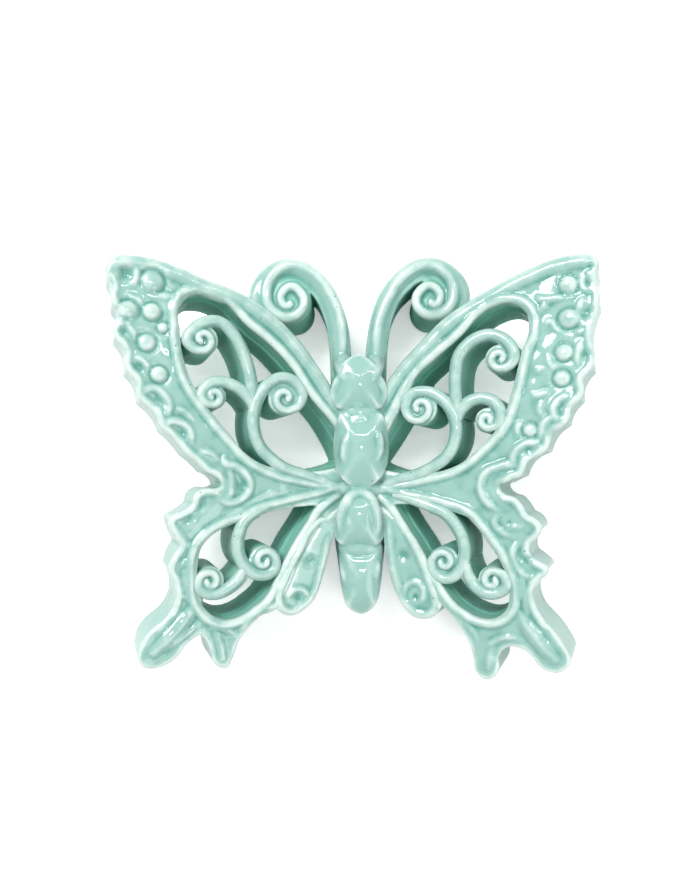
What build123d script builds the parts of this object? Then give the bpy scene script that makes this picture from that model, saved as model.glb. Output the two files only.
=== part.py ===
from build123d import *
import math
import os

# Butterfly ornament in glazed stoneware, an openwork casting that lies on its flat underside.
# +Z is up out of the table, +Y points to the antennae, X runs across the wings.
# The origin is the middle of the flat foot under the body.
# The body lies flat, and the wings rise from it on both sides at one angle, like a shallow dish.
# The clay was pressed in two halves, so round each wing opening the wall has an upper tier, a seam
# and a lower tier that stands in by a small ledge.

# Driving dimensions, lengths in millimetres and angles in degrees
face_span = 173.0
wing_thickness = 27.0
wing_angle = 21.0
hinge_half_width = 10.5
upper_tier = 10.0
seam_ledge = 0.6
field_drop = 1.3
overrun = 3.0

bar_width = 3.8
coil_ridge = 1.9
coil_drop = 1.3
rim_ridge = 3.2
margin_ridge = 2.2
leading_bevel = 3.4
bead_rise = 1.8

antenna_height = 26.0
antenna_bar_width = 8.0
antenna_coil_ridge = 3.4
antenna_coil_drop = 2.4
body_seam_height = 17.0
body_shoulder_height = 28.0
body_dome = 5.5
body_end_drop = 3.5

# How the outlines were read: pixels of a photograph taken from straight above, close by
view_pixels = {"face_span": 402.0, "camera_height": 660.0, "straight_below": (359.0, 469.0)}

pixel_size = face_span / view_pixels["face_span"]
root_top = wing_thickness / math.cos(math.radians(wing_angle))
wing_slope = math.tan(math.radians(wing_angle))
left, right = -1, 1
side_name = {left: "left", right: "right"}


def flat_points(height, pixels):
    """Pixels seen on a level face at this height, as places above the table."""
    middle_x, middle_y = view_pixels["straight_below"]
    scale = pixel_size - height / view_pixels["camera_height"]
    return [((x - middle_x) * scale, (middle_y - y) * scale) for x, y in pixels]


def wing_points(side, pixels):
    """Pixels seen on a rising wing, as places in the wing's own plane, measured from its hinge."""
    middle_x, middle_y = view_pixels["straight_below"]
    camera_height = view_pixels["camera_height"]
    hinge = hinge_half_width / pixel_size
    top = root_top / pixel_size
    reach = camera_height - top + hinge * wing_slope
    places = []
    for x, y in pixels:
        across = side * (x - middle_x)
        out = across * reach / (camera_height + across * wing_slope)
        height = top + (out - hinge) * wing_slope
        forward = (middle_y - y) * (1 - height / camera_height)
        along = (out - hinge) / math.cos(math.radians(wing_angle))
        places.append((side * along * pixel_size, forward * pixel_size))
    return places


def onto_wing(side, piece):
    """Tips a piece made in the wing's plane up onto its side of the body, and trims it at the table."""
    tipped = Pos(side * hinge_half_width, 0, root_top) * Rot(0, -side * wing_angle, 0) * piece
    return tipped - Pos(0, 0, -face_span) * Box(2 * face_span, 2 * face_span, 2 * face_span)


def arcs(points):
    """A run of arcs, each through three points and sharing its ends with the next."""
    straight_share = 0.002
    edges = []
    for first in range(0, len(points) - 2, 2):
        start, middle, end = [Vector(*point) for point in points[first:first + 3]]
        sideways = (middle - start).cross(end - start).length
        if sideways < straight_share * (end - start).length ** 2:
            edges.append(Line(start, end))
        else:
            edges.append(ThreePointArc(start, middle, end))
    return edges


def closed(points):
    """A face inside a closed run of arcs."""
    return make_face(arcs(list(points) + [points[0]]))


def rise(face, low, high):
    """A face pulled up from one height to another."""
    return extrude(Pos(0, 0, low) * face, amount=high - low, dir=(0, 0, 1))


def wing_wall(outline, opening, top):
    """A wing's wall with its seam: below it the opening is narrower by the ledge all round."""
    lower = outline - offset(opening, amount=-seam_ledge)
    return rise(outline - opening, -upper_tier, top) + rise(lower, -wing_thickness, -upper_tier)


def main_solid(piece):
    """The piece itself, without the slivers that a cut leaves beside a neighbour."""
    return max(piece.solids(), key=lambda solid: solid.volume)


def seat(piece, neighbours):
    """Cuts a piece where its neighbours are, so that they meet face to face."""
    for neighbour in neighbours:
        piece = piece - neighbour
    return main_solid(piece)


def strip(one_side, other_side):
    """A face between two runs of arcs that go the same way, with straight ends."""
    ends = [Line(one_side[-1], other_side[-1]), Line(other_side[0], one_side[0])]
    return make_face(arcs(one_side) + arcs(other_side) + ends)


def coil_face(radius, start, turn, width):
    """The flat spiral of a rolled clay coil: half-turn arcs that close in evenly towards the eye."""
    quarter_turns = 4
    taper_share = 0.4
    eye_share = 0.7
    outer = []
    inner = []
    for quarter in range(quarter_turns + 1):
        done = quarter / quarter_turns
        angle = math.radians(start + turn * 90 * quarter)
        far = radius + (width * eye_share - radius) * done
        near = far - width * (1 - taper_share * done)
        outer.append((far * math.cos(angle), far * math.sin(angle)))
        inner.append((near * math.cos(angle), near * math.sin(angle)))
    return strip(outer, inner)


def scroll(run, eye, edge, turn, width, ridge, drop, depth):
    """A clay bar that rolls up: it narrows as it closes in on its drum, and winds on there as a ridge."""
    closing_steps = 3
    closing_angle = 75
    radius = math.dist(eye, edge)
    far = math.dist(eye, run[-1])
    start = math.degrees(math.atan2(run[-1][1] - eye[1], run[-1][0] - eye[0]))
    route = list(run)
    for step in range(1, closing_steps + 1):
        done = step / closing_steps
        angle = math.radians(start + turn * closing_angle * done)
        near = radius - (width + (ridge - width) * done) / 2
        reach = far + (near - far) * done
        route.append((eye[0] + reach * math.cos(angle), eye[1] + reach * math.sin(angle)))

    path = Spline(*route)
    closing_share = radius * math.radians(closing_angle) / path.length
    steps = 2 * round(len(route) / 2)
    one_side = []
    other_side = []
    for step in range(steps + 1):
        done = step / steps
        narrowing = max(0, 1 - (1 - done) / closing_share)
        half = (width + (ridge - width) * narrowing) / 2
        place = path @ done
        way = path % done
        one_side.append((place.X - way.Y * half, place.Y + way.X * half))
        other_side.append((place.X + way.Y * half, place.Y - way.X * half))

    band = strip(one_side, other_side)
    coil = Pos(*eye) * coil_face(radius, start + turn * closing_angle, turn, ridge)
    drum = Pos(*eye) * Circle(radius)
    return Part() + [rise(band + drum, -depth, -drop), rise(band + coil, -drop, 0)]


def bead(radius):
    """A low boss, round but for its twelve flats, that leans in to a smaller top, made at height zero."""
    sides = 12
    top_share = 0.55
    lean = math.degrees(math.atan(radius * (1 - top_share) / bead_rise))
    return extrude(RegularPolygon(radius, sides), amount=bead_rise, dir=(0, 0, 1), taper=lean)


# Body: one flat lower half, with head, thorax and two abdomen petals seated on its seam

body_back_pixels = [
    (358, 354), (372, 362), (384, 386), (387, 412), (389, 440), (388, 466), (381, 488),
    (384, 512), (385, 545), (381, 580), (373, 605), (362, 614), (350, 609), (342, 588),
    (337, 560), (335, 532), (341, 508), (342, 488), (334, 466), (333, 440), (334, 412),
    (333, 388), (338, 374), (345, 362)]
head_pixels = [
    (358, 355), (369, 361), (379, 376), (386, 397), (381, 408), (359, 411.5), (337, 408),
    (332, 397), (338, 376), (347, 361)]
thorax_pixels = [
    (340, 415), (361, 412), (382, 415), (388, 438), (387, 462), (378, 480), (361, 489),
    (344, 480), (335, 462), (334, 438)]
abdomen_upper_pixels = [
    (360, 490), (374, 497), (381, 518), (383, 538), (372, 545), (358, 546), (340, 543),
    (334, 533), (339, 515), (346, 498)]
abdomen_lower_pixels = [
    (340, 547), (360, 548), (382, 546), (382, 568), (379, 590), (373, 605), (363, 613),
    (352, 609), (344, 595), (340, 572)]


def middle_and_half(places):
    """The middle of a row of places, and half the way from its lowest to its highest."""
    low, high = min(places), max(places)
    return (high + low) / 2, (high - low) / 2


def vault(plane, half_span, drop):
    """A long block whose top is one arc, highest at the plane's origin and lower by the drop at its sides."""
    radius = (half_span ** 2 + drop ** 2) / (2 * drop)
    profile = Pos(0, -radius) * (Circle(radius) + Pos(0, -radius) * Rectangle(2 * radius, 2 * radius))
    return extrude(plane * profile, amount=face_span, both=True)


def vaulted(pixels, shoulder):
    """A body piece: straight walls up from the seam, under a top that curves down to sides and ends."""
    outline = flat_points(shoulder, pixels)
    middle_x, half_width = middle_and_half([x for x, y in outline])
    middle_y, half_length = middle_and_half([y for x, y in outline])
    crown = Vector(middle_x, middle_y, shoulder + body_dome)
    lengthwise = Plane(origin=crown, x_dir=(1, 0, 0), z_dir=(0, -1, 0))
    crosswise = Plane(origin=crown, x_dir=(0, 1, 0), z_dir=(1, 0, 0))
    block = rise(closed(outline), body_seam_height, crown.Z)
    return block & vault(lengthwise, half_width, body_dome) & vault(crosswise, half_length, body_end_drop)


parts = {}
parts["body_back"] = rise(closed(flat_points(body_shoulder_height, body_back_pixels)), 0, body_seam_height)
parts["head"] = vaulted(head_pixels, body_shoulder_height)
parts["thorax"] = vaulted(thorax_pixels, body_shoulder_height)
parts["abdomen_upper"] = vaulted(abdomen_upper_pixels, body_shoulder_height)
parts["abdomen_lower"] = vaulted(abdomen_lower_pixels, body_shoulder_height - field_drop)
body = list(parts.values())


# Wing borders: each wing is one wall round a single large opening, with a sunk field

leading_edge_pixels = {
    left: [(359, 440), (326, 389), (310, 361), (292, 336), (270, 315), (250, 300), (225, 288),
           (200, 278), (170, 264), (148, 256.5), (126, 253.5)],
    right: [(359, 440), (388, 389), (405, 364), (425, 343), (450, 318), (475, 300), (500, 285),
            (530, 269), (560, 257), (575, 253.5), (588, 253)],
}
forewing_margin_pixels = {
    left: [(126, 253.5), (112, 256), (106, 268), (112, 283), (111, 297), (119, 314), (113, 331),
           (125, 350), (125, 366), (137, 382), (139, 397), (155, 412), (163, 428), (176, 440),
           (186, 453), (196, 461), (207, 472), (217, 477), (222, 486)],
    right: [(588, 253), (597, 257), (597.5, 268), (596, 282), (600, 295), (591, 330), (594, 363),
            (583, 378), (582, 395), (571, 407), (567, 421), (552, 434), (546, 450), (527, 461),
            (520, 476), (512, 479), (505, 483), (500, 484), (500, 489)],
}
wing_parting_pixels = {
    left: [(222, 486), (240, 493), (268, 491), (300, 489), (359, 490)],
    right: [(500, 489), (478, 495), (450, 491), (420, 490), (359, 490)],
}
forewing_opening_pixels = {
    left: [(353, 462), (334, 424), (312, 397), (290, 364), (268, 341), (246, 323), (228, 303),
           (209, 293.5), (190, 293), (180, 302), (178, 325), (180, 348), (188, 378), (207, 408),
           (230, 436), (255, 461), (285, 470), (320, 471.5)],
    right: [(366, 462), (390, 425), (416, 375), (436, 356), (460, 335), (480, 313),
            (500, 303), (517, 303), (528, 312), (530, 330), (523, 350), (518, 372), (512, 395),
            (500, 425), (478, 450), (455, 467), (420, 473), (390, 472)],
}
hindwing_margin_pixels = {
    left: [(359, 500), (334, 512), (316, 535), (300, 563), (289, 590), (279, 607), (262, 615),
           (247, 629), (237, 643), (232, 658), (227, 669), (219, 668), (212, 658), (208, 645),
           (200, 635), (190, 641), (179, 654), (165, 666), (152, 670), (140, 666), (138, 655),
           (143, 642), (157, 627), (170, 614), (176, 599), (175, 584), (169, 570), (173, 558),
           (180, 546), (173, 533), (170, 519), (183, 512), (193, 504), (197, 493), (209, 489),
           (216, 489), (222, 486)],
    right: [(359, 500), (383, 508), (400, 532), (415, 558), (427, 584), (437, 600), (448, 611),
            (458, 624), (467, 638), (472, 650), (475, 664), (480, 677), (488, 681), (495, 677),
            (499, 664), (503, 651), (514, 647), (526, 651), (536, 661), (546, 671), (557, 674),
            (567, 670), (572, 661), (562, 643), (544, 622), (533, 600), (534, 587), (541, 579),
            (548, 571), (541, 564), (531, 557), (529, 547), (541, 530), (537, 521), (527, 515),
            (521, 505), (514, 498), (505, 495), (500, 489)],
}
hindwing_opening_pixels = {
    left: [(318, 505), (308, 522), (296, 541), (286, 560), (276, 580), (268, 596), (255, 608),
           (240, 618), (225, 621.5), (210, 616), (199, 602), (196, 583), (199, 550), (210, 536),
           (225, 527), (240, 521), (258, 515), (288, 508)],
    right: [(393, 504), (402, 520), (412, 536), (422, 552), (430, 569), (441, 586), (452, 601),
            (465, 612), (480, 619), (497, 619), (508, 610), (511, 593), (507, 574), (499, 558),
            (490, 544), (479, 529), (468, 517), (440, 508)],
}


def outline_face(side, runs):
    """A wing's outline: runs of arcs joined end to end, closed down the middle of the body."""
    edges = []
    for run in runs:
        edges += arcs(wing_points(side, run))
    first, last = wing_points(side, [runs[0][0], runs[-1][-1]])
    return make_face(edges + [Line(last, first)])


def border(outline, opening):
    """A wing border: sunk field, raised ridge along the margin and round the opening."""
    rim = (offset(opening, amount=rim_ridge) - opening) & outline
    margin = outline - opening - offset(outline, amount=-margin_ridge)
    return wing_wall(outline, opening, -field_drop) + rise(rim + margin, -field_drop, 0)


def leading_cut(side):
    """The long bevel that rolls the leading edge over."""
    path = Spline(*wing_points(side, leading_edge_pixels[side]))
    way = path % 0
    section_plane = Plane(origin=path @ 0, x_dir=Vector(0, 0, 1).cross(way), z_dir=way)
    reach = leading_bevel + overrun
    corners = [(-overrun, -reach), (reach, overrun), (-overrun, overrun)]
    section = make_face(Polyline(*[(-side * x, z) for x, z in corners], close=True))
    return sweep(section_plane * section, path=path)


wing_walls = {left: [], right: []}
for side in (left, right):
    outline = outline_face(side, [leading_edge_pixels[side], forewing_margin_pixels[side],
                                  wing_parting_pixels[side]])
    opening = closed(wing_points(side, forewing_opening_pixels[side]))
    frame = onto_wing(side, border(outline, opening) - leading_cut(side))
    parts["forewing_" + side_name[side]] = seat(frame, body)
    wing_walls[side].append(onto_wing(side, wing_wall(outline, opening, overrun)))

    parting = wing_parting_pixels[side]
    outline = outline_face(side, [hindwing_margin_pixels[side], parting])
    opening = closed(wing_points(side, hindwing_opening_pixels[side]))
    frame = onto_wing(side, border(outline, opening))
    forewing = parts["forewing_" + side_name[side]]
    parts["hindwing_" + side_name[side]] = seat(frame, body + [forewing])
    wing_walls[side].append(onto_wing(side, wing_wall(outline, opening, overrun)))


# Scrolls: bars that spring from the waist or from each other and roll up inside the openings

scroll_pixels = {
    "forewing_inner_scroll": {
        left: ([(300, 473), (285, 468), (272, 459), (260, 446), (254, 427), (255, 408), (261, 393),
                (271, 382), (283, 377), (295, 381), (303, 392)], (286, 398), (302, 398), -1),
        right: ([(400, 479), (415, 475), (432, 467), (447, 455), (454, 440), (455, 422), (449, 407),
                 (438, 396), (424, 391), (411, 394), (405, 405)], (419, 408), (403, 408), 1)},
    "forewing_outer_scroll": {
        left: ([(254, 406), (252, 385), (248, 365), (241, 346), (232, 331), (220, 321), (207, 321),
                (195, 328), (188, 339)], (203, 339), (218, 339), 1),
        right: ([(458, 417), (455, 395), (455, 372), (459, 354), (470, 341), (485, 334), (499, 336),
                 (510, 345), (513, 357)], (499, 358), (513, 358), -1)},
    "forewing_middle_scroll": {
        left: ([(256, 411), (247, 395), (234, 385), (220, 381), (208, 385), (202, 395)],
               (214, 396), (226, 396), 1),
        right: ([(456, 420), (463, 406), (473, 399), (485, 398), (496, 404), (500, 416)],
                (487, 420), (499, 420), -1)},
    "hindwing_inner_scroll": {
        left: ([(258, 512), (246, 520), (240, 532), (238, 546), (241, 560), (250, 571), (262, 576),
                (274, 571)], (265, 561), (279, 561), 1),
        right: ([(430, 508), (446, 515), (456, 527), (463, 542), (464, 557), (459, 571),
                 (447, 579), (434, 574)], (443, 562), (429, 562), -1)},
    "hindwing_outer_scroll": {
        left: ([(248, 569), (240, 580), (228, 590), (214, 595), (201, 590)],
               (210, 582), (196, 582), -1),
        right: ([(464, 562), (470, 580), (481, 592), (495, 594), (506, 586)],
                (492, 581), (506, 581), 1)},
}

for scroll_name, sides in scroll_pixels.items():
    for side, (run, eye, edge, turn) in sides.items():
        centre, rim = wing_points(side, [eye, edge])
        rolled = scroll(wing_points(side, run), centre, rim, turn, bar_width, coil_ridge,
                        coil_drop, wing_thickness)
        placed = seat(onto_wing(side, rolled), body + wing_walls[side])
        parts[scroll_name + "_" + side_name[side]] = placed
        wing_walls[side].append(placed)


# Lobes: a closed petal beside the abdomen under each hindwing, with a button at its curled end

lobe_pixels = {
    left: [(359, 500), (338, 522), (333, 536), (329, 552), (325, 567), (319, 583), (311, 599),
           (303, 609), (290, 614.5), (281, 612), (272, 605), (281, 585), (294, 560), (312, 530)],
    right: [(359, 500), (380, 520), (384, 540), (387, 560), (391, 578), (397, 595), (407, 611),
            (419, 619), (431, 617), (440, 609), (431, 583), (419, 556), (400, 525), (380, 503)],
}
lobe_button_pixels = {left: [(297, 598), (289, 598)], right: [(415, 600), (423, 600)]}

for side in (left, right):
    petal = rise(closed(wing_points(side, lobe_pixels[side])), -wing_thickness, 0)
    centre, edge = wing_points(side, lobe_button_pixels[side])
    petal += Pos(*centre) * bead(math.dist(centre, edge))
    parts["lobe_" + side_name[side]] = seat(onto_wing(side, petal), body + wing_walls[side])


# Beads: low round bosses set on the sunk field of each forewing

bead_pixels = {
    left: [((152.5, 281), 9.5), ((152, 311), 7.5), ((128, 309), 8), ((162.5, 327), 4.5),
           ((147, 342), 7.5), ((159, 374), 7)],
    right: [((568, 284), 8), ((569, 318), 8.5), ((564, 352), 7.5), ((562, 378), 7),
            ((530, 430), 6)],
}

for side in (left, right):
    bosses = []
    for centre_pixels, radius_pixels in bead_pixels[side]:
        edge_pixels = (centre_pixels[0], centre_pixels[1] + radius_pixels)
        centre, edge = wing_points(side, [centre_pixels, edge_pixels])
        boss = Pos(centre[0], centre[1], -field_drop) * bead(math.dist(centre, edge))
        bosses.append(seat(onto_wing(side, boss), [parts["forewing_" + side_name[side]]]))
    parts["forewing_beads_" + side_name[side]] = Compound(children=bosses)


# Antennae: broad bars that spring from the head, lie flat and roll up beside the leading edges

antenna_pixels = {
    left: ([(342, 395), (341, 372), (340, 350), (337, 325), (331, 305), (322, 288), (310, 276),
            (293, 269), (276, 272), (264, 283), (258, 298)], (288, 300), (266, 300), 1),
    right: ([(375, 395), (376, 372), (377, 350), (380, 325), (386, 304), (395, 288), (407, 276),
             (422, 268), (438, 269), (451, 277), (460, 290)], (436, 298), (457, 298), -1),
}

for side in (left, right):
    run, eye, edge, turn = antenna_pixels[side]
    centre, rim = flat_points(antenna_height, [eye, edge])
    rolled = scroll(flat_points(antenna_height, run), centre, rim, turn, antenna_bar_width,
                    antenna_coil_ridge, antenna_coil_drop, antenna_height)
    lying = Pos(0, 0, antenna_height) * rolled
    parts["antenna_" + side_name[side]] = seat(lying, body + wing_walls[side][:1])


os.makedirs("parts", exist_ok=True)
for name, piece in parts.items():
    piece.label = name
    export_step(piece, os.path.join("parts", name + ".step"))
    print(name, round(piece.volume))
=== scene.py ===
import bpy
import bmesh
import math
import numpy as np
from mathutils import Matrix, Vector
from mathutils.bvhtree import BVHTree


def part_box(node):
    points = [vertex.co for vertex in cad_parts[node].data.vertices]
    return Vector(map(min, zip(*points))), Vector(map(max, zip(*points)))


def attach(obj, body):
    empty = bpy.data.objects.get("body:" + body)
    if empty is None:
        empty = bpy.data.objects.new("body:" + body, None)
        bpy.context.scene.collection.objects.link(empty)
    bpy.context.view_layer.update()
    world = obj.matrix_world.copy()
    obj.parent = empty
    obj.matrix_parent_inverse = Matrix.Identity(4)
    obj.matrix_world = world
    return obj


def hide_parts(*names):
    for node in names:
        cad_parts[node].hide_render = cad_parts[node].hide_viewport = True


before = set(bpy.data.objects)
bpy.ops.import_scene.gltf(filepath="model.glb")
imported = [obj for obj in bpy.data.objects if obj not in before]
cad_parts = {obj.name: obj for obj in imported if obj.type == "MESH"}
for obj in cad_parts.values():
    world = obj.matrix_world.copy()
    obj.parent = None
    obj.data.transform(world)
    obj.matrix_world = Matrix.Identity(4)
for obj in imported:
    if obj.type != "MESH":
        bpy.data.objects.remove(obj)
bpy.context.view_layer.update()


# Celadon glaze over white stoneware. It breaks pale where it runs thin over crests and edges and
# pools blue-green in hollows. The duller green low on the deep walls is painted shade. A few
# pinholes show.

glaze_thin = (0.55, 0.67, 0.62, 1)
glaze_even = (0.25, 0.435, 0.385, 1)
glaze_pooled = (0.085, 0.275, 0.23, 1)
# Painted shade: the green that the deep walls are given where they lie in shadow.
shaded_wall_green = (0.20, 0.50, 0.405, 1)
pinhole_dark = (0.05, 0.13, 0.1, 1)
pooled_until = 0.14
even_about = 0.47
thin_from = 0.92
glaze_shine = 0.9
shine_roughness = 0.035
shine_ior = 1.55
glaze_roughness = 0.32
wall_roughness = 0.6
wall_dulling = 0.85
clay_ior = 1.5
clay_gleam = 0.06
mottle_size = 0.006
mottle_detail = 4
mottle_roughness = 0.6
mottle_strength = 0.5
mottle_middle = 0.5
pinhole_spacing = 0.004
pinhole_radius = 0.07
pinhole_rarity = 0.62
ripple_strength = 0.35
ripple_height = 0.0006


def node_group(name, inputs, outputs):
    """An empty shader group with these named sockets, and its two end nodes."""
    group = bpy.data.node_groups.new(name, "ShaderNodeTree")
    for kind, title in inputs:
        group.interface.new_socket(title, in_out="INPUT", socket_type=kind)
    for kind, title in outputs:
        group.interface.new_socket(title, in_out="OUTPUT", socket_type=kind)
    return group, group.nodes.new("NodeGroupInput"), group.nodes.new("NodeGroupOutput")


def math_of(tree, operation, first, second):
    """A Math node fed by two sockets or numbers; gives back its output."""
    node = tree.nodes.new("ShaderNodeMath")
    node.operation = operation
    for place, value in enumerate((first, second)):
        if hasattr(value, "is_linked"):
            tree.links.new(value, node.inputs[place])
        else:
            node.inputs[place].default_value = value
    return node.outputs[0]


def ramp_of(tree, value, stops):
    """A colour ramp over a socket, from (place, colour) stops; gives back its colour."""
    node = tree.nodes.new("ShaderNodeValToRGB")
    node.color_ramp.interpolation = "EASE"
    elements = node.color_ramp.elements
    for element, (place, colour) in zip(elements, (stops[0], stops[-1])):
        element.position = place
        element.color = colour
    for place, colour in stops[1:-1]:
        elements.new(place).color = colour
    tree.links.new(value, node.inputs["Fac"])
    return node.outputs["Color"]


def mix_of(tree, share, colour, other):
    """A colour that goes over to the other one by this share; gives back its output."""
    node = tree.nodes.new("ShaderNodeMix")
    node.data_type = "RGBA"
    node.inputs["B"].default_value = other
    tree.links.new(share, node.inputs["Factor"])
    tree.links.new(colour, node.inputs["A"])
    return node.outputs["Result"]


def mottle_group():
    """Slow drifting patches in the glaze's thickness, as a value about mottle_middle."""
    group, inside, outside = node_group(
        "glaze_mottle", [("NodeSocketFloat", "Size")], [("NodeSocketFloat", "Thickness")])
    place = group.nodes.new("ShaderNodeTexCoord")
    noise = group.nodes.new("ShaderNodeTexNoise")
    noise.inputs["Detail"].default_value = mottle_detail
    noise.inputs["Roughness"].default_value = mottle_roughness
    group.links.new(place.outputs["Object"], noise.inputs["Vector"])
    group.links.new(math_of(group, "DIVIDE", 1.0, inside.outputs["Size"]), noise.inputs["Scale"])
    group.links.new(noise.outputs["Fac"], outside.inputs["Thickness"])
    return group


def pinhole_group():
    """Tiny pits where a bubble burst in the glaze: 1 in a pit, 0 elsewhere."""
    group, inside, outside = node_group(
        "glaze_pinholes", [("NodeSocketFloat", "Spacing"), ("NodeSocketFloat", "Radius")],
        [("NodeSocketFloat", "Pit")])
    place = group.nodes.new("ShaderNodeTexCoord")
    cells = group.nodes.new("ShaderNodeTexVoronoi")
    group.links.new(place.outputs["Object"], cells.inputs["Vector"])
    group.links.new(math_of(group, "DIVIDE", 1.0, inside.outputs["Spacing"]), cells.inputs["Scale"])
    chosen = math_of(group, "GREATER_THAN", cells.outputs["Color"], pinhole_rarity)
    near = math_of(group, "LESS_THAN", cells.outputs["Distance"], inside.outputs["Radius"])
    group.links.new(math_of(group, "MULTIPLY", chosen, near), outside.inputs["Pit"])
    return group


def celadon():
    """The one glaze of the ornament."""
    material = bpy.data.materials.new("celadon_glaze")
    material.use_nodes = True
    tree = material.node_tree
    shader = tree.nodes["Principled BSDF"]
    shader.inputs["IOR"].default_value = clay_ior
    shader.inputs["Specular IOR Level"].default_value = clay_gleam
    shader.inputs["Coat Roughness"].default_value = shine_roughness
    shader.inputs["Coat IOR"].default_value = shine_ior

    crest = tree.nodes.new("ShaderNodeAttribute")
    crest.attribute_name = "crest"
    # The painted wall shade, a share that grows down the deep walls.
    depth = tree.nodes.new("ShaderNodeAttribute")
    depth.attribute_name = "painted_wall_shade"
    mottle = tree.nodes.new("ShaderNodeGroup")
    mottle.node_tree = mottle_group()
    mottle.inputs["Size"].default_value = mottle_size
    pits = tree.nodes.new("ShaderNodeGroup")
    pits.node_tree = pinhole_group()
    pits.inputs["Spacing"].default_value = pinhole_spacing
    pits.inputs["Radius"].default_value = pinhole_radius

    unevenness = math_of(tree, "SUBTRACT", mottle.outputs["Thickness"], mottle_middle)
    drift = math_of(tree, "MULTIPLY", unevenness, mottle_strength)
    thinness = math_of(tree, "ADD", crest.outputs["Fac"], drift)
    surface = ramp_of(tree, thinness, [(pooled_until, glaze_pooled), (even_about, glaze_even),
                                       (thin_from, glaze_thin)])
    # Painted shade: the base colour goes over to a shaded green down the deep walls.
    sunk = mix_of(tree, depth.outputs["Fac"], surface, shaded_wall_green)
    pitted = mix_of(tree, pits.outputs["Pit"], sunk, pinhole_dark)
    tree.links.new(pitted, shader.inputs["Base Color"])

    dull = math_of(tree, "MULTIPLY", depth.outputs["Fac"], glaze_shine * wall_dulling)
    tree.links.new(math_of(tree, "SUBTRACT", glaze_shine, dull), shader.inputs["Coat Weight"])
    rougher = math_of(tree, "MULTIPLY", depth.outputs["Fac"], wall_roughness - glaze_roughness)
    tree.links.new(math_of(tree, "ADD", glaze_roughness, rougher), shader.inputs["Roughness"])

    bump = tree.nodes.new("ShaderNodeBump")
    bump.inputs["Strength"].default_value = ripple_strength
    bump.inputs["Distance"].default_value = ripple_height
    tree.links.new(math_of(tree, "SUBTRACT", mottle.outputs["Thickness"], pits.outputs["Pit"]),
                   bump.inputs["Height"])
    tree.links.new(bump.outputs["Normal"], shader.inputs["Normal"])
    return material


glaze = celadon()


# The body and antennae: stoneware head, thorax and two abdomen petals, luted on one flat lower half
# so that they run into each other, with soft folds modelled on them. Two broad bars rise out of the
# head and roll up at their ends; a ridge runs along each bar and winds on over its drum.

clay_grain = 0.0005
weld_reach = 0.000002
smoothing = 0.5
glaze_coat = 0.0003
crest_blur = 34
crest_span = 0.00072
flat_crest = 0.45
# Painted shade down the walls: the share that outer walls get, and how it grows with depth under
# the top.
outer_wall_shade_share = 0.35
wall_shade_start = 0.0012
wall_shade_end = 0.0050
wall_shade_strength = 0.92
seam_depth = 0.010
seam_spread = 0.0008
seam_thinning = 0.10
roll_end = 0.35
roll_roundness = 3
roll_steps = 8
pebble_segments = 24
pebble_rings = 12
body_softening = 15
wing_softening = 7
scroll_softening = 5
lobe_softening = 9
most_triangles = 190000
photo_pixel = 0.173 / 402
straight_below = (359.0, 469.0)
camera_height_pixels = 660.0
left = -1
right = 1
side_name = {left: "left", right: "right"}


def clay(*nodes):
    """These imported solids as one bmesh, with their doubles merged."""
    whole = bmesh.new()
    for node in nodes:
        whole.from_mesh(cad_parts[node].data)
    bmesh.ops.remove_doubles(whole, verts=whole.verts, dist=weld_reach)
    return whole


def evaluated(piece):
    """A piece's mesh with its modifiers done."""
    graph = bpy.context.evaluated_depsgraph_get()
    return bpy.data.meshes.new_from_object(piece.evaluated_get(graph))


def mark(mesh, title, values):
    """Keeps one number a vertex on the mesh, for the glaze to read."""
    layer = mesh.attributes.new(title, "FLOAT", "POINT")
    layer.data.foreach_set("value", np.asarray(values, np.float32))


def places_of(mesh):
    """Where a mesh's corners lie, a row each."""
    places = np.zeros(len(mesh.vertices) * 3, np.float32)
    mesh.vertices.foreach_get("co", places)
    return places.reshape(-1, 3)


def stepped(values, low, high):
    """Values as shares that run smoothly from 0 at the low one to 1 at the high one."""
    share = np.clip((values - low) / (high - low), 0, 1)
    return share * share * (3 - 2 * share)


def painted_wall_shade(below):
    """How much painted shade a wall gets this far down; the glaze runs thinner on the seam, so less
    there.
    """
    seam = seam_thinning * np.exp(-((below - seam_depth) / seam_spread) ** 2)
    return wall_shade_strength * stepped(below, wall_shade_start, wall_shade_end) - seam


def tapered(count, first, last):
    """Thickness shares for this many places: these at both ends, and 1 between them."""
    return first + [1] * (count - len(first) - len(last)) + last


def roll(whole, points, radius, shares=None):
    """Lays a roll of clay along a smooth line through these places; shares thin it at each."""
    shares = shares or tapered(len(points), [roll_end], [roll_end])
    line = bpy.data.curves.new("roll", "CURVE")
    line.dimensions = "3D"
    line.bevel_depth = radius
    line.bevel_resolution = roll_roundness
    line.resolution_u = roll_steps
    line.use_fill_caps = True
    spline = line.splines.new("BEZIER")
    spline.bezier_points.add(len(points) - 1)
    for knot, place, share in zip(spline.bezier_points, points, shares):
        knot.co = place
        knot.handle_left_type = knot.handle_right_type = "AUTO"
        knot.radius = share
    shape = bpy.data.objects.new("roll", line)
    bpy.context.collection.objects.link(shape)
    whole.from_mesh(evaluated(shape))
    bpy.data.objects.remove(shape)


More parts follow.
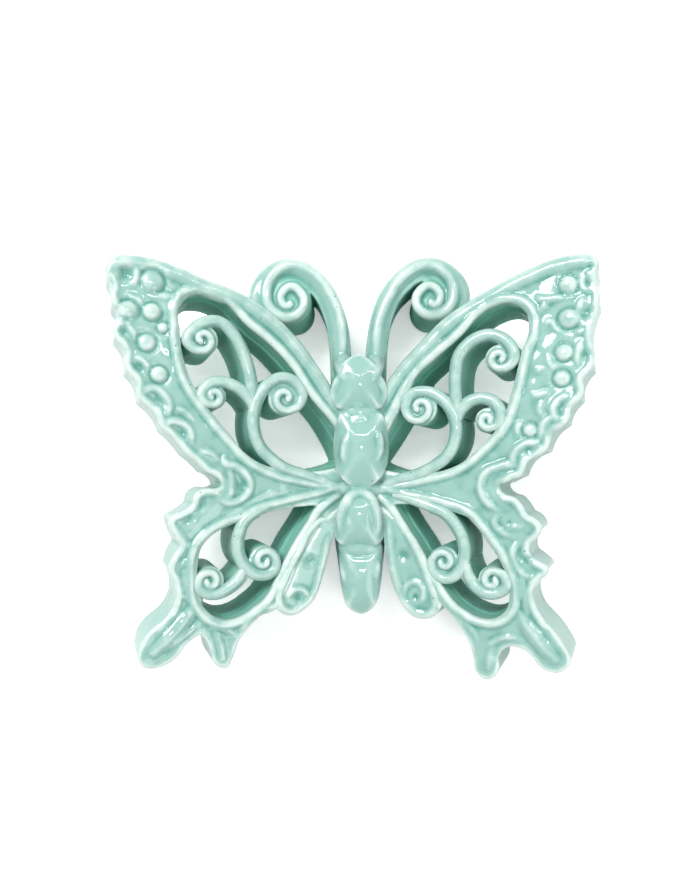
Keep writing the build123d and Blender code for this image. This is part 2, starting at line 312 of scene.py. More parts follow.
def fired(name, whole, nodes, softening, below, inside=None, shaping=None, grain=clay_grain):
    """Fuses the clay into one skin, shapes, softens and coats it, and glazes it.

    The piece takes the place of its nodes. The functions that are handed in say how far under the
    top each place lies, which places are inner walls, and how the skin is modelled.
    """
    mesh = bpy.data.meshes.new(name)
    whole.to_mesh(mesh)
    whole.free()
    piece = bpy.data.objects.new(name, mesh)
    bpy.context.collection.objects.link(piece)
    skin = piece.modifiers.new("skin", "REMESH")
    skin.mode = "VOXEL"
    skin.voxel_size = grain
    skin.use_smooth_shade = True
    piece.data = evaluated(piece)
    piece.modifiers.clear()
    if shaping:
        places = shaping(places_of(piece.data))
        piece.data.vertices.foreach_set("co", places.astype(np.float32).ravel())
    soft = piece.modifiers.new("soft", "SMOOTH")
    soft.factor = smoothing
    soft.iterations = softening
    coat = piece.modifiers.new("coat", "DISPLACE")
    coat.strength = glaze_coat
    coat.mid_level = 0
    piece.data = evaluated(piece)
    piece.modifiers.clear()
    places = places_of(piece.data)
    # Nothing reaches down into the table.
    places[:, 2] = np.maximum(places[:, 2], 0)
    piece.data.vertices.foreach_set("co", places.ravel())

    # The glaze runs thin where the skin stands proud of a blurred copy of itself.
    soft = piece.modifiers.new("blur", "SMOOTH")
    soft.factor = smoothing
    soft.iterations = crest_blur
    blurred = places_of(evaluated(piece))
    normals = np.zeros(len(places) * 3, np.float32)
    piece.data.vertices.foreach_get("normal", normals)
    proud = ((places - blurred) * normals.reshape(-1, 3)).sum(axis=1)
    mark(piece.data, "crest", np.clip(flat_crest + proud / crest_span, 0, 1))
    # Painted shade: walls in openings and curls go darker green with depth under the top, outer
    # walls less.
    walled = inside(places) if inside else np.zeros(len(places))
    walled = outer_wall_shade_share + (1 - outer_wall_shade_share) * walled
    mark(piece.data, "painted_wall_shade", walled * painted_wall_shade(below(places)))

    piece.modifiers.clear()
    triangles = 2 * len(piece.data.polygons)
    if triangles > most_triangles:
        fewer = piece.modifiers.new("fewer", "DECIMATE")
        fewer.ratio = most_triangles / triangles
        piece.data = evaluated(piece)
        piece.modifiers.clear()
    piece.data.name = name
    piece.data.materials.clear()
    piece.data.materials.append(glaze)
    piece.data.polygons.foreach_set("use_smooth", [True] * len(piece.data.polygons))
    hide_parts(*nodes)
    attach(piece, "root")


def flat_place(x, y, height):
    """The place at this height that shows at this pixel of the picture."""
    scale = photo_pixel - height / camera_height_pixels
    return Vector(((x - straight_below[0]) * scale, (straight_below[1] - y) * scale, height))


body_reach = 0.05
# Each fold's way over the body in the picture's pixels, its radius, and how far it sinks in.
body_folds = [
    ([(352, 425), (347, 441), (345, 456), (347, 470)], 0.0019, 0.0010),
    ([(371, 423), (378, 436), (379, 450), (374, 468)], 0.0019, 0.0010),
    ([(352, 425), (356, 420), (364, 419), (371, 423)], 0.0016, 0.0010),
    ([(341, 537), (342, 516), (347, 502), (356, 494), (367, 496), (374, 507), (376.5, 524),
      (376, 541)], 0.0021, 0.0009),
    ([(351, 506), (350, 522), (352, 540)], 0.0013, 0.0008),
    ([(341, 556), (345, 574), (348, 590)], 0.0017, 0.0009),
    ([(350, 552), (352, 568)], 0.0013, 0.0008),
    ([(372, 550), (376, 566), (376, 585)], 0.0017, 0.0009),
    ([(357, 586), (357, 597)], 0.0012, 0.0006),
    ([(363.5, 586), (364, 598)], 0.0012, 0.0006),
    ([(370, 586), (370, 596)], 0.0012, 0.0006),
    ([(346, 369), (338, 382), (335, 396), (341, 406)], 0.0018, 0.0010),
    ([(370, 369), (380, 382), (383, 396), (377, 406)], 0.0018, 0.0010),
    ([(350, 400), (358, 404), (368, 400)], 0.0016, 0.0010)]
# The clay that fills the dips between the petals: its pixel, radii, and the height of its top.
saddles = [((359.5, 412), (0.0086, 0.0046, 0.0050), 0.0316),
           ((360, 489), (0.0085, 0.0048, 0.0050), 0.0306),
           ((360, 547), (0.0084, 0.0054, 0.0045), 0.0311)]
antenna_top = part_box("antenna_left")[1].z
stem_radius = 0.0036
stem_sink = 0.0008
stem_ridge_radius = 0.0022
neck_sink = 0.0028
antenna_sink = 0.0030
neck_rise = 0.0002
ray_tries = 3
# How thick the antennae's rolls are at their ends, as shares of their radii.
stem_end = [0.85, 0.6]
stem_ridge_start = [0.6, 0.8]
stem_ridge_end = [0.95, 0.9, 0.85, 0.8, 0.8, 0.75, 0.75, 0.7, 0.65, 0.6]
neck_shares = [0.95, 1, 0.9, 0.6]
# Where each neck runs on the stem, and on into the head.
neck_runs = {left: ([(341, 340), (342, 358)], [(345, 372), (350, 386)]),
             right: ([(377, 340), (376, 358)], [(373, 372), (368, 386)])}
# Each stem's way round its coil, and its ridge's on to the eye.
antenna_runs = {
    left: ([(342, 398), (341, 372), (340, 350), (337, 325), (331, 305), (322, 288), (310, 276),
            (293, 269), (276, 272), (264, 283), (258, 298), (262, 312), (272, 322)],
           [(343, 388), (342, 360), (341, 329), (337, 310), (330, 295), (320, 280), (309, 271),
            (297, 266), (286, 267), (275, 273), (268, 283), (266, 295), (269, 307), (277, 315),
            (288, 318), (299, 313), (304, 303), (300, 292), (291, 287), (283, 292), (281, 300),
            (286, 306), (292, 303)]),
    right: ([(375, 398), (376, 372), (377, 350), (380, 325), (386, 304), (395, 288), (407, 276),
             (422, 268), (438, 269), (451, 277), (460, 290), (461, 303), (453, 315)],
            [(374, 388), (376, 360), (378, 329), (383, 310), (390, 295), (399, 281), (409, 272),
             (421, 266), (433, 266), (444, 272), (452, 282), (454, 294), (451, 305), (443, 313),
             (432, 316), (421, 311), (416, 301), (420, 291), (429, 286), (437, 290), (440, 298),
             (435, 305), (429, 301)])}


def body_below(places):
    """How far under the antennae's top each place lies."""
    return antenna_top - places[:, 2]


def laid(tree, x, y, sink):
    """Where this pixel shows on the clay's top, or that far under it."""
    place = flat_place(x, y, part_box("thorax")[1].z)
    for attempt in range(ray_tries):
        hit = tree.ray_cast(Vector((place.x, place.y, body_reach)), Vector((0, 0, -1)))[0]
        if hit is None:
            break
        place = flat_place(x, y, hit.z)
    return place - Vector((0, 0, sink))


def pressed_down(whole, height_of, by):
    """Presses everything that stands above a level down to it."""
    for corner in whole.verts:
        over = corner.co.z - height_of(corner.co) + by
        if over > 0:
            corner.co.z -= over


def antenna_level(place):
    """The height of an antenna's top, which is the same everywhere."""
    return antenna_top


def pebble(whole, place, radii, tilt=0):
    """Presses a flattened ball of clay on, turned by a tilt about the body's long line."""
    set_down = (Matrix.Translation(place) @ Matrix.Rotation(tilt, 4, "Y")
                @ Matrix.Diagonal((*radii, 1)))
    bmesh.ops.create_uvsphere(whole, u_segments=pebble_segments, v_segments=pebble_rings,
                              radius=1, matrix=set_down)


def enclosed(line, along, forward):
    """1 for each place inside this closed line, 0 for the others."""
    crossed = np.zeros(len(along), bool)
    for (x1, y1), (x2, y2) in zip(line, line[1:] + line[:1]):
        spans = (y1 > forward) != (y2 > forward)
        with np.errstate(divide="ignore", invalid="ignore"):
            ahead = along < (x2 - x1) * (forward - y1) / (y2 - y1) + x1
        crossed ^= spans & ahead
    return crossed.astype(np.float32)


def in_curls(places):
    """Which places of the body face into an antenna's curl."""
    curls = [[flat_place(x, y, antenna_top)[:2] for x, y in run]
             for run, ridge in antenna_runs.values()]
    return np.max([enclosed(line, places[:, 0], places[:, 1]) for line in curls], axis=0)


body_nodes = ["body_back", "head", "thorax", "abdomen_upper", "abdomen_lower"]
body_clay = clay(*body_nodes)
body_tree = BVHTree.FromBMesh(body_clay)
for pixels, radius, sink in body_folds:
    roll(body_clay, [laid(body_tree, x, y, sink) for x, y in pixels], radius)
for (x, y), radii, height in saddles:
    pebble(body_clay, flat_place(x, y, height) - Vector((0, 0, radii[2])), radii)
for side in (left, right):
    stem, ridge = antenna_runs[side]
    node = "antenna_" + side_name[side]
    antenna_clay = clay(node)
    pressed_down(antenna_clay, antenna_level, antenna_sink)
    pressed = bpy.data.meshes.new(node)
    antenna_clay.to_mesh(pressed)
    antenna_clay.free()
    body_clay.from_mesh(pressed)
    stem_height = antenna_top - stem_radius - stem_sink
    roll(body_clay, [flat_place(x, y, stem_height) for x, y in stem], stem_radius,
         tapered(len(stem), [], stem_end))
    ridge_height = antenna_top - stem_ridge_radius
    roll(body_clay, [flat_place(x, y, ridge_height) for x, y in ridge], stem_ridge_radius,
         tapered(len(ridge), stem_ridge_start, stem_ridge_end))
    on_stem, on_head = neck_runs[side]
    neck = [flat_place(x, y, stem_height + neck_rise) for x, y in on_stem]
    neck += [laid(body_tree, x, y, neck_sink) for x, y in on_head]
    roll(body_clay, neck, stem_radius, neck_shares)
fired("body", body_clay, body_nodes + ["antenna_left", "antenna_right"],
      softening=body_softening, below=body_below, inside=in_curls)


# The wings: one pressed openwork frame a side, forewing and hindwing in one, which rises from the
# body. A broad roll runs along the leading edge and a round rim follows each opening. The scalloped
# margin has a leaf-shaped hollow in each scallop, and bosses stand on the sunk field.

hinge_out = 0.0105
wing_rise = math.radians(21)
wing_thickness = 0.027
root_top = wing_thickness / math.cos(wing_rise)
field_drop = 0.0013
leading_radius = 0.0031
rim_radius = 0.0016
rim_sink = 0.0002
edge_radius = 0.0013
fold_unit = 0.0013
fold_sink = 0.0006
boss_rise = 0.0014
boss_share = 0.88
root_plunge = 0.0008
hollow_depth = 0.0010
groove_depth = 0.0006
groove_off = 1
groove_spread = 1.8
# Each wave of the uneven clay: waves across and forward, and where they start.
slow_wave = (310, 1.7, 270, 0.4)
quick_wave = (720, 0.3, 640, 2.1)
quick_share = 0.5
wave_height = 0.00027
foot_height = 0.004
# How thick the wings' rolls are at their ends, as shares of their radii.
leading_start = [0.8]
leading_end = [0.95, 0.9, 0.7]
rim_end = [0.7]
tail_start = [0.6]
tail_end = [0.8]


def wing_flat(side, x, y):
    """Where this pixel lies on a wing: how far out from the hinge, and how far forward."""
    slope = math.tan(wing_rise)
    hinge = hinge_out / photo_pixel
    top = root_top / photo_pixel
    across = side * (x - straight_below[0])
    reach = camera_height_pixels - top + hinge * slope
    out = across * reach / (camera_height_pixels + across * slope)
    height = top + (out - hinge) * slope
    forward = (straight_below[1] - y) * (1 - height / camera_height_pixels)
    return (out - hinge) * photo_pixel / math.cos(wing_rise), forward * photo_pixel


def tipped(side, along, forward, lift=0.0):
    """A place on a wing, or that far off its top, in the ornament's frame."""
    out = along * math.cos(wing_rise) - lift * math.sin(wing_rise)
    height = along * math.sin(wing_rise) + lift * math.cos(wing_rise)
    return Vector((side * (hinge_out + out), forward, root_top + height))


def on_wing(side, x, y, lift=0.0):
    """The place on a wing's top that shows at this pixel, or a lift off it."""
    return tipped(side, *wing_flat(side, x, y), lift)


def wing_plane(places):
    """How far out along the wing, how far forward and how far under its top each place lies."""
    out = np.abs(places[:, 0]) - hinge_out
    up = places[:, 2] - root_top
    return (out * math.cos(wing_rise) + up * math.sin(wing_rise), places[:, 1],
            out * math.sin(wing_rise) - up * math.cos(wing_rise))


def wing_below(places):
    """How far under a wing's top each place lies."""
    return wing_plane(places)[2]


def top_at(place):
    """The height of a wing's top over this place."""
    return root_top + (abs(place.x) - hinge_out) * math.tan(wing_rise)


def beside(line, by):
    """The same line moved this far to the right of its way, in the wing's plane."""
    moved = []
    for count, (along, forward) in enumerate(line):
        before, after = line[max(count - 1, 0)], line[min(count + 1, len(line) - 1)]
        way = Vector((after[0] - before[0], after[1] - before[1])).normalized()
        moved.append((along + way.y * by, forward - way.x * by))
    return moved


# Lines over the wings, in the picture's pixels: the leading edge's middle, the openings' rims and
# the scalloped margins. A side of 1 or -1 tells to which hand of its line a roll lies.
leading_middle = {
    left: [(343, 418), (331, 397), (314, 371), (296, 346), (274, 323), (253, 307), (227, 294),
           (202, 285), (172, 271.5), (149, 264.5), (130, 262), (115, 264), (112, 273)],
    right: [(374, 418), (386, 395), (403, 370), (422, 349), (447, 324), (473, 306), (498, 291.5),
            (529, 276), (560, 264), (577, 261), (589, 262), (592, 270)]}
openings = {
    "forewing": {
        left: [(348, 448), (334, 424), (312, 397), (290, 364), (268, 341), (246, 323), (228, 303),
               (209, 293.5), (190, 293), (180, 302), (178, 325), (180, 348), (188, 378), (207, 408),
               (230, 436), (255, 461), (285, 474), (320, 481), (338, 485), (352, 490)],
        right: [(372, 448), (390, 420), (416, 375), (436, 356), (460, 335), (480, 313), (500, 303),
                (517, 303), (528, 312), (530, 330), (523, 350), (518, 372), (512, 395), (500, 425),
                (478, 450), (455, 467), (420, 477), (390, 483), (379, 486), (367, 490)]},
    "hindwing": {
        left: [(350, 487), (334, 494), (318, 507), (308, 522), (296, 541), (286, 560), (276, 580),
               (268, 596), (255, 608), (240, 618), (225, 621.5), (210, 616), (199, 602), (196, 583),
               (199, 550), (210, 536), (225, 527), (240, 521), (258, 513), (288, 505), (320, 497),
               (340, 491), (352, 489)],
        right: [(368, 487), (381, 494), (393, 506), (402, 520), (412, 536), (422, 552), (430, 569),
                (441, 586), (452, 601), (465, 612), (480, 619), (497, 619), (508, 610), (511, 593),
                (507, 574), (499, 558), (490, 544), (479, 529), (468, 517), (440, 506), (400, 497),
                (380, 491), (368, 489)]}}
rim_side = {"forewing": -1, "hindwing": 1}
margins = {
    "forewing": {
        left: [[(126, 254), (112, 256), (106, 268), (112, 283), (111, 297), (119, 314), (113, 331),
                (125, 350), (125, 366), (137, 382), (139, 397), (155, 412), (163, 428), (176, 440),
                (186, 453), (196, 461), (207, 472), (217, 477), (222, 486)]],
        right: [[(588, 254), (597, 257), (597.5, 268), (596, 282), (600, 295), (591, 330),
                 (594, 363), (583, 378), (582, 395), (571, 407), (567, 421), (552, 434), (546, 450),
                 (527, 461), (520, 476), (512, 479), (505, 483), (500, 484), (500, 489)]]},
    "hindwing": {
        left: [[(316, 535), (300, 563), (289, 590), (279, 607), (262, 615), (247, 629), (240, 638)],
               [(163, 620), (170, 614), (176, 599), (175, 584), (169, 570), (173, 558), (180, 546),
                (173, 533), (170, 519), (183, 512), (193, 504), (197, 493), (209, 489), (216, 489),
                (222, 486)]],
        right: [[(400, 532), (415, 558), (427, 584), (437, 600), (448, 611), (458, 624),
                 (464, 633)],
                [(552, 632), (544, 622), (533, 600), (534, 587), (541, 579), (548, 571), (541, 564),
                 (531, 557), (529, 547), (541, 530), (537, 521), (527, 515), (521, 505), (514, 498),
                 (505, 495), (500, 489)]]}}
margin_side = {"forewing": 1, "hindwing": -1}

# Each ridge and its thickness in fold units.
field_ridges = {
    left: [
        ([(131, 257), (136, 263), (137, 271), (136, 279), (125, 287)], 1.1),
        ([(113, 285), (116, 274), (117, 265), (123, 258)], 1.1),
        ([(137, 279), (141, 287), (149, 292), (162, 295), (175, 295), (180, 290)], 1.0),
        ([(123, 288), (130, 296), (139, 300), (144, 306)], 0.9),
        ([(137, 305), (135, 315), (127, 321), (116, 319)], 1.0),
        ([(168, 280), (173, 287), (178, 289)], 0.9),
        ([(160, 303), (163, 308), (166, 312)], 0.8),
        ([(152, 318), (155, 323), (160, 322)], 0.8),
        ([(126, 322), (130, 327), (134, 333), (134, 342)], 1.0),
        ([(140, 333), (147, 330), (153, 334), (157, 340)], 0.9),
        ([(130, 359), (139, 359), (146, 364), (152, 370)], 1.1),
        ([(139, 397), (147, 389), (155, 388), (163, 393.5), (168.5, 401), (169, 410),
          (164, 416)], 1.2),
        ([(163, 428), (168, 423), (172, 421), (181.5, 423), (189, 429), (192, 437),
          (190, 446)], 1.2),
        ([(172, 412), (181, 410), (190, 416), (196, 422)], 1.0),
        ([(196, 458), (204, 452), (214, 455), (222, 466)], 1.0),
        ([(225, 452), (225, 462), (237, 467), (247, 475), (251, 487), (245, 497), (230, 503),
          (217, 500)], 1.3),
        ([(225, 462), (231, 474), (232.5, 485), (229, 498), (212, 501)], 1.0)],
    right: [
        ([(583, 258), (590, 258), (594, 263), (589, 271), (591, 279), (598, 290)], 0.9),
        ([(579, 273), (581, 280), (586, 288), (597, 293)], 1.1),
        ([(534, 292), (540, 298), (553, 298), (570, 294), (586, 291)], 1.1),
        ([(587, 291), (581, 301), (578, 312), (581, 322), (588, 331)], 1.1),
        ([(538, 315), (544, 305), (553, 299)], 1.2),
        ([(545, 329), (548, 321), (558, 328), (568, 333)], 1.0),
        ([(570, 333), (580, 331), (590, 332)], 1.0),
        ([(588, 333), (580, 345), (577, 357), (582, 371)], 1.1),
        ([(552, 351), (548, 358), (552, 366), (560, 369)], 0.9),
        ([(533, 374), (538, 370), (548, 369)], 0.9),
        ([(529, 391), (535, 395), (546, 392), (553, 390)], 1.0),
        ([(575, 396), (565, 396), (555, 403), (553, 412), (557, 419), (565, 420)], 1.2),
        ([(546, 398), (540, 405), (540, 412), (546, 419)], 1.0),
        ([(565, 419), (553, 417), (544, 422), (540, 433), (541, 443)], 1.2),
        ([(519, 440), (517, 430), (520, 424), (526, 430)], 1.1),
        ([(541, 444), (531, 442), (522, 445), (516, 450), (512, 461), (515, 467)], 1.2),
        ([(518, 467), (508, 464), (497, 467), (486, 472), (480, 483), (481, 494), (489, 505),
          (501, 512)], 1.3)]}
hind_ridges = {
    left: [
        ([(214, 523), (237, 512), (257, 500), (274, 493), (292, 492)], 0.8),
        ([(189, 523), (200, 516)], 0.8),
        ([(175, 523), (180, 533), (186, 543), (185, 552)], 0.9),
        ([(180, 548), (190, 545), (194, 540)], 0.9),
        ([(176, 572), (184, 563), (192, 556)], 0.9),
        ([(181, 586), (185, 572), (188, 560)], 0.9),
        ([(177, 600), (186, 597), (190, 612)], 0.9),
        ([(240, 640), (230, 632), (216, 628), (204, 632)], 1.0),
        ([(205, 617), (192, 630), (175, 644), (160, 655)], 1.1)],
    right: [
        ([(500, 513), (494, 522), (501, 532), (522, 539)], 1.1),
        ([(499, 525), (511, 526), (522, 526), (515, 515)], 0.8),
        ([(525, 541), (513, 548), (514, 562), (522, 574), (534, 579)], 1.1),
        ([(539, 582), (527, 591), (526, 607), (531, 624)], 1.0),
        ([(521, 613), (533, 635), (549, 655)], 1.0),
        ([(483, 652), (491, 644), (508, 638), (531, 644)], 1.0),
        ([(451, 613), (472, 631), (482, 652)], 1.0)]}
# Each tail's filling, its radius, and how far it stands over the field.
tail_fills = {
    left: [([(199, 598), (186, 620), (168, 641), (152, 656)], 0.0038, 0.0014),
           ([(214, 628), (221, 647), (224, 661)], 0.0022, 0.0010),
           ([(186, 560), (187, 580), (190, 598)], 0.0020, 0.0009)],
    right: [([(516, 606), (529, 630), (544, 649), (557, 662)], 0.0038, 0.0014),
            ([(494, 640), (490, 658), (488, 670)], 0.0024, 0.0010),
            ([(520, 566), (521, 584), (519, 600)], 0.0020, 0.0009)]}
# The bosses' middles and radii, and those of the fingertip hollows.
field_bosses = {
    left: [((152.5, 281), 9.5), ((152, 311), 7.5), ((128, 309), 8), ((162.5, 327), 4.5),
           ((147, 342), 7.5), ((159, 374), 7)],
    right: [((568, 284), 8), ((569, 318), 8.5), ((564, 352), 7.5), ((562, 378), 7),
            ((530, 430), 6)]}
field_hollows = {
    left: [((126, 273), 9), ((122, 331), 7), ((138, 365), 8), ((155, 402), 9), ((180, 433), 9),
           ((239, 484), 10), ((188, 520), 8), ((202, 505), 8)],
    right: [((590, 266), 5), ((588, 282), 5), ((589, 312), 8), ((588, 355), 8), ((563, 408), 8),
            ((552, 432), 8), ((530, 452), 8), ((497, 485), 11), ((509, 523), 5), ((528, 560), 7)]}


def pixels_away(places, side, x, y):
    """How far each place is, in pixels, from the place on a wing's top at this pixel."""
    return np.linalg.norm(places - np.array(on_wing(side, x, y)), axis=1) / photo_pixel


def dented(places, side, spots, depth):
    """Presses a round hollow of this depth into a wing's top at each spot."""
    for (x, y), radius in spots:
        share = pixels_away(places, side, x, y) / radius
        places[:, 2] -= depth * np.clip(1 - share ** 2, 0, 1) ** 2


def waves(places, across, across_start, forward, forward_start):
    """How far up or down one wave of the uneven clay is at each place."""
    return (np.sin(places[:, 0] * across + across_start)
            * np.sin(places[:, 1] * forward + forward_start))


def modelled(side):
    """Presses hollows into the field and a groove round each boss, and leaves it uneven."""
    def shaping(places):
        dented(places, side, field_hollows[side], hollow_depth)
        for (x, y), radius in field_bosses[side]:
            off = pixels_away(places, side, x, y) - radius - groove_off
            places[:, 2] -= groove_depth * np.exp(-(off / groove_spread) ** 2)
        uneven = waves(places, *slow_wave) + quick_share * waves(places, *quick_wave)
        places[:, 2] += wave_height * uneven * (places[:, 2] > foot_height)
        return places
    return shaping


def opening_lines(side):
    """Both openings of a wing as lines in its plane, a little wider than they are."""
    lines = []
    for kind in ("forewing", "hindwing"):
        line = [wing_flat(side, x, y) for x, y in openings[kind][side]]
        lines.append(beside(line, rim_side[kind] * rim_radius))
    return lines


def in_openings(side):
    """Which places of a wing are the walls inside its openings."""
    def inside(places):
        along, forward = wing_plane(places)[:2]
        return np.max([enclosed(line, along, forward) for line in opening_lines(side)], axis=0)
    return inside


for side in (left, right):
    name = side_name[side]
    nodes = ["forewing_" + name, "hindwing_" + name, "forewing_beads_" + name]
    frame_clay = clay(*nodes[:2])
    pressed_down(frame_clay, top_at, field_drop / math.cos(wing_rise))
    middle = [on_wing(side, x, y, -leading_radius) for x, y in leading_middle[side]]
    roll(frame_clay, middle, leading_radius, tapered(len(middle), leading_start, leading_end))
    for line in opening_lines(side):
        lifts = [-root_plunge] + [0] * (len(line) - 2) + [-root_plunge]
        rim = [tipped(side, *place, lift - rim_sink - rim_radius)
               for place, lift in zip(line, lifts)]
        roll(frame_clay, rim, rim_radius, tapered(len(rim), rim_end, rim_end))
    for kind in ("forewing", "hindwing"):
        for pixels in margins[kind][side]:
            line = beside([wing_flat(side, x, y) for x, y in pixels],
                          margin_side[kind] * edge_radius)
            roll(frame_clay, [tipped(side, *place, -field_drop - fold_sink) for place in line],
                 edge_radius)
    for pixels, thickness in field_ridges[side] + hind_ridges[side]:
        roll(frame_clay, [on_wing(side, x, y, -field_drop - fold_sink) for x, y in pixels],
             thickness * fold_unit)
    for pixels, radius, stand in tail_fills[side]:
        filling = [on_wing(side, x, y, stand - field_drop - radius) for x, y in pixels]
        roll(frame_clay, filling, radius, tapered(len(filling), tail_start, tail_end))
    for (x, y), radius in field_bosses[side]:
        across = radius * photo_pixel * boss_share
        pebble(frame_clay, on_wing(side, x, y, -field_drop), (across, across, boss_rise),
               -side * wing_rise)
    fired("wing_" + name, frame_clay, nodes, softening=wing_softening, below=wing_below,
          inside=in_openings(side), shaping=modelled(side))


# The scrolls: clay bars set in the wing openings. Each one springs from the waist or from another,
# rolls up on a drum and winds on there as a round ridge that thins towards the eye.

bar_radius = 0.0020
drum_ridge_radius = 0.0013
eye_ridge_radius = 0.0010
drum_sink = 0.0017
ridge_stand = 0.0002
root_share = 0.7
closing_turn = math.radians(75)
closing_steps = 3
winding_steps = 12
eye_gap = 0.6
scroll_grain = 0.0004
# Each bar's way from its root, the pixels of its eye and of its drum's edge, and the way it turns.
scroll_runs = {
    "forewing_inner_scroll": {
        left: ([(346, 491), (322, 481), (302, 474), (285, 468), (272, 459), (260, 446), (254, 427),
                (255, 408), (261, 393), (271, 382), (283, 377), (295, 381), (303, 392)],
               (286, 398), (302, 398), -1),
        right: ([(373, 491), (390, 483), (403, 478), (415, 475), (432, 467), (447, 455), (454, 440),
                 (455, 422), (449, 407), (438, 396), (424, 391), (411, 394), (405, 405)],
                (419, 408), (403, 408), 1)},
    "forewing_outer_scroll": {
        left: ([(254, 406), (252, 385), (248, 365), (241, 346), (232, 331), (220, 321), (207, 321),
                (195, 328), (188, 339)], (203, 339), (218, 339), 1),
        right: ([(458, 417), (455, 395), (455, 372), (459, 354), (470, 341), (485, 334), (499, 336),
                 (510, 345), (513, 357)], (499, 358), (513, 358), -1)},
    "forewing_middle_scroll": {
        left: ([(256, 411), (247, 395), (234, 385), (220, 381), (208, 385), (202, 395)],
               (214, 396), (226, 396), 1),
        right: ([(456, 420), (463, 406), (473, 399), (485, 398), (496, 404), (500, 416)],
                (487, 420), (499, 420), -1)},
    "hindwing_inner_scroll": {
        left: ([(272, 504), (258, 511), (246, 520), (240, 532), (238, 546), (241, 560), (250, 571),
                (262, 576), (274, 571)], (265, 561), (279, 561), 1),
        right: ([(392, 494), (415, 501), (431, 507), (446, 515), (456, 527), (463, 542), (464, 557),
                 (459, 571), (447, 579), (434, 574)], (443, 562), (429, 562), -1)},
    "hindwing_outer_scroll": {
        left: ([(247, 565), (240, 578), (228, 589.5), (214, 595), (201, 590)],
               (210, 582), (196, 582), -1),
        right: ([(464, 562), (470, 580), (481, 592), (495, 594), (506, 586)],
                (492, 581), (506, 581), 1)}}


def winding(run, eye, radius, turn, bar, outer, inner):
    """A rolled bar's line and its thickness at each point, from its root in to the eye."""
    line = list(run)
    thick = [bar] * len(run)
    far = math.dist(eye, run[-1])
    start = math.atan2(run[-1][1] - eye[1], run[-1][0] - eye[0])
    for step in range(1, closing_steps + 1):
        done = step / closing_steps
        thick.append(bar + (outer - bar) * done)
        reach = far + (radius - outer - far) * done
        angle = start + turn * closing_turn * done
        line.append((eye[0] + reach * math.cos(angle), eye[1] + reach * math.sin(angle)))
    for step in range(1, winding_steps + 1):
        done = step / winding_steps
        thick.append(outer + (inner - outer) * done)
        reach = radius - outer - (radius - outer - inner * eye_gap) * done
        angle = start + turn * (closing_turn + 2 * math.pi * done)
        line.append((eye[0] + reach * math.cos(angle), eye[1] + reach * math.sin(angle)))
    return line, thick


def everywhere(places):
    """All of a scroll is inside an opening."""
    return np.ones(len(places))


for kind, sides in scroll_runs.items():
    for side, (run, eye_pixel, edge_pixel, turn) in sides.items():
        node = kind + "_" + side_name[side]
        scroll_clay = clay(node)
        pressed_down(scroll_clay, top_at, drum_sink)
        eye_place, edge_place = wing_flat(side, *eye_pixel), wing_flat(side, *edge_pixel)
        run_places = [wing_flat(side, x, y) for x, y in run]
        drum_radius = math.dist(eye_place, edge_place)
        line, thick = winding(run_places, eye_place, drum_radius, turn * side,
                              bar_radius, drum_ridge_radius, eye_ridge_radius)
        thick[0] *= root_share
        lifts = [ridge_stand - radius for radius in thick]
        lifts[0] -= root_plunge
        roll(scroll_clay, [tipped(side, *place, lift) for place, lift in zip(line, lifts)],
             bar_radius, [radius / bar_radius for radius in thick])
        fired(node, scroll_clay, [node], softening=scroll_softening, below=wing_below,
              inside=everywhere, grain=scroll_grain)


# The lobes: closed petals that stick out beside the abdomen. Each has a thin raised edge round a
# sunk face, and its end curls round a dimple.

lobe_drop = 0.0008
dimple_depth = 0.0011
# Each roll round the edge and round the dimple, and its radius.
lobe_edges = {
    left: [([(331, 520), (317, 523), (299, 553), (286, 579), (280, 596), (282, 606), (292, 611.5),
             (303, 606), (311, 598), (321, 569), (327, 544), (330, 527)], 0.0017),
           ([(289, 603), (290, 594), (299, 589), (307, 594), (307, 602)], 0.0013)],
    right: [([(388, 512), (389, 530), (391, 554), (398, 586), (409, 608), (424, 615), (433, 609),
              (434, 600), (429, 584), (421, 562), (410, 540), (393, 516)], 0.0017),
            ([(404, 604), (403, 594), (410, 583), (421, 586), (423, 598), (417, 606)], 0.0013)]}
lobe_dimples = {left: [((298, 598), 5), ((310, 560), 9)], right: [((415, 597), 5), ((404, 555), 9)]}


def dimpled(side):
    """Sinks the lobe's face and the middle of its curl."""
    def shaping(places):
        dented(places, side, lobe_dimples[side], dimple_depth)
        return places
    return shaping


for side in (left, right):
    node = "lobe_" + side_name[side]
    lobe_clay = clay(node)
    pressed_down(lobe_clay, top_at, lobe_drop)
    for pixels, radius in lobe_edges[side]:
        roll(lobe_clay, [on_wing(side, x, y, -radius) for x, y in pixels], radius)
    fired(node, lobe_clay, [node], softening=lobe_softening, below=wing_below,
          shaping=dimpled(side))


# The set: a pale table that shows white to the camera but keeps the ornament's shadow.

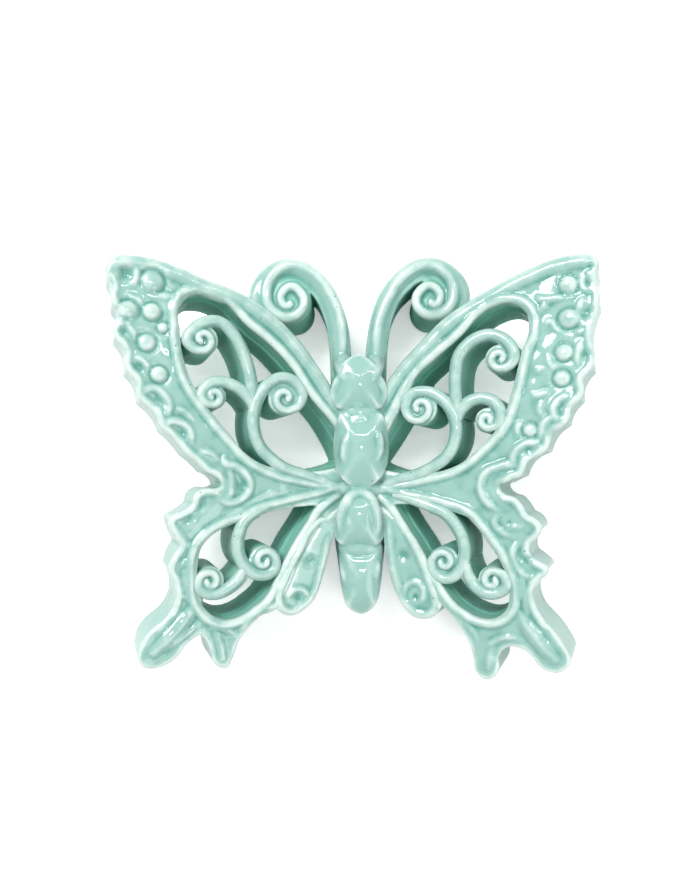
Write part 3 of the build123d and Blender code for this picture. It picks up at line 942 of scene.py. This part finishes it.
table_reach = 3.0
paper_white = (0.9, 0.9, 0.9, 1)
paper_roughness = 0.9
paper_glow = 0.38
sky_strength = 0.55
table_mesh = bpy.data.meshes.new("table")
table_shape = bmesh.new()
bmesh.ops.create_grid(table_shape, x_segments=1, y_segments=1, size=table_reach)
table_shape.to_mesh(table_mesh)
table_shape.free()
table = bpy.data.objects.new("table", table_mesh)
bpy.context.collection.objects.link(table)
paper = bpy.data.materials.new("white_paper")
paper.use_nodes = True
paper_shader = paper.node_tree.nodes["Principled BSDF"]
paper_shader.inputs["Base Color"].default_value = paper_white
paper_shader.inputs["Roughness"].default_value = paper_roughness
paper_shader.inputs["Emission Color"].default_value = (1, 1, 1, 1)
seen = paper.node_tree.nodes.new("ShaderNodeLightPath")
glow = math_of(paper.node_tree, "MULTIPLY", seen.outputs["Is Camera Ray"], paper_glow)
paper.node_tree.links.new(glow, paper_shader.inputs["Emission Strength"])
table_mesh.materials.append(paper)

world = bpy.data.worlds.new("studio")
world.use_nodes = True
world.node_tree.nodes["Background"].inputs["Color"].default_value = (1, 1, 1, 1)
world.node_tree.nodes["Background"].inputs["Strength"].default_value = sky_strength
bpy.context.scene.world = world


def soft_box(name, place, wide, long, power):
    """A flat soft light aimed at the ornament."""
    lamp = bpy.data.lights.new(name, "AREA")
    lamp.shape = "RECTANGLE"
    lamp.size = wide
    lamp.size_y = long
    lamp.energy = power
    holder = bpy.data.objects.new(name, lamp)
    holder.location = place
    holder.rotation_mode = "QUATERNION"
    holder.rotation_quaternion = (-Vector(place)).to_track_quat("-Z", "Y")
    bpy.context.collection.objects.link(holder)


soft_box("window", (-0.35, 0.45, 0.75), wide=0.5, long=0.28, power=6.3)
soft_box("fill", (0.55, -0.35, 0.7), wide=0.5, long=0.5, power=2.4)
soft_box("tube", (0.0, 0.24, 0.58), wide=0.70, long=0.009, power=1.1)
soft_box("small_lamp", (0.02, 0.05, 0.55), wide=0.05, long=0.018, power=0.16)


# The camera: straight above the origin, close by, with the frame shifted as in the picture.

picture_wide = 700
picture_high = 875
sensor_wide = 36
nearest_seen = 0.01

lens = bpy.data.cameras.new("above")
lens.sensor_width = sensor_wide
lens.lens = sensor_wide * camera_height_pixels / picture_high
lens.shift_x = (picture_wide / 2 - straight_below[0]) / picture_high
lens.shift_y = (straight_below[1] - picture_high / 2) / picture_high
lens.clip_start = nearest_seen
camera = bpy.data.objects.new("above", lens)
camera.location = (0, 0, camera_height_pixels * photo_pixel)
bpy.context.collection.objects.link(camera)
bpy.context.scene.camera = camera
bpy.context.scene.view_settings.view_transform = "Standard"
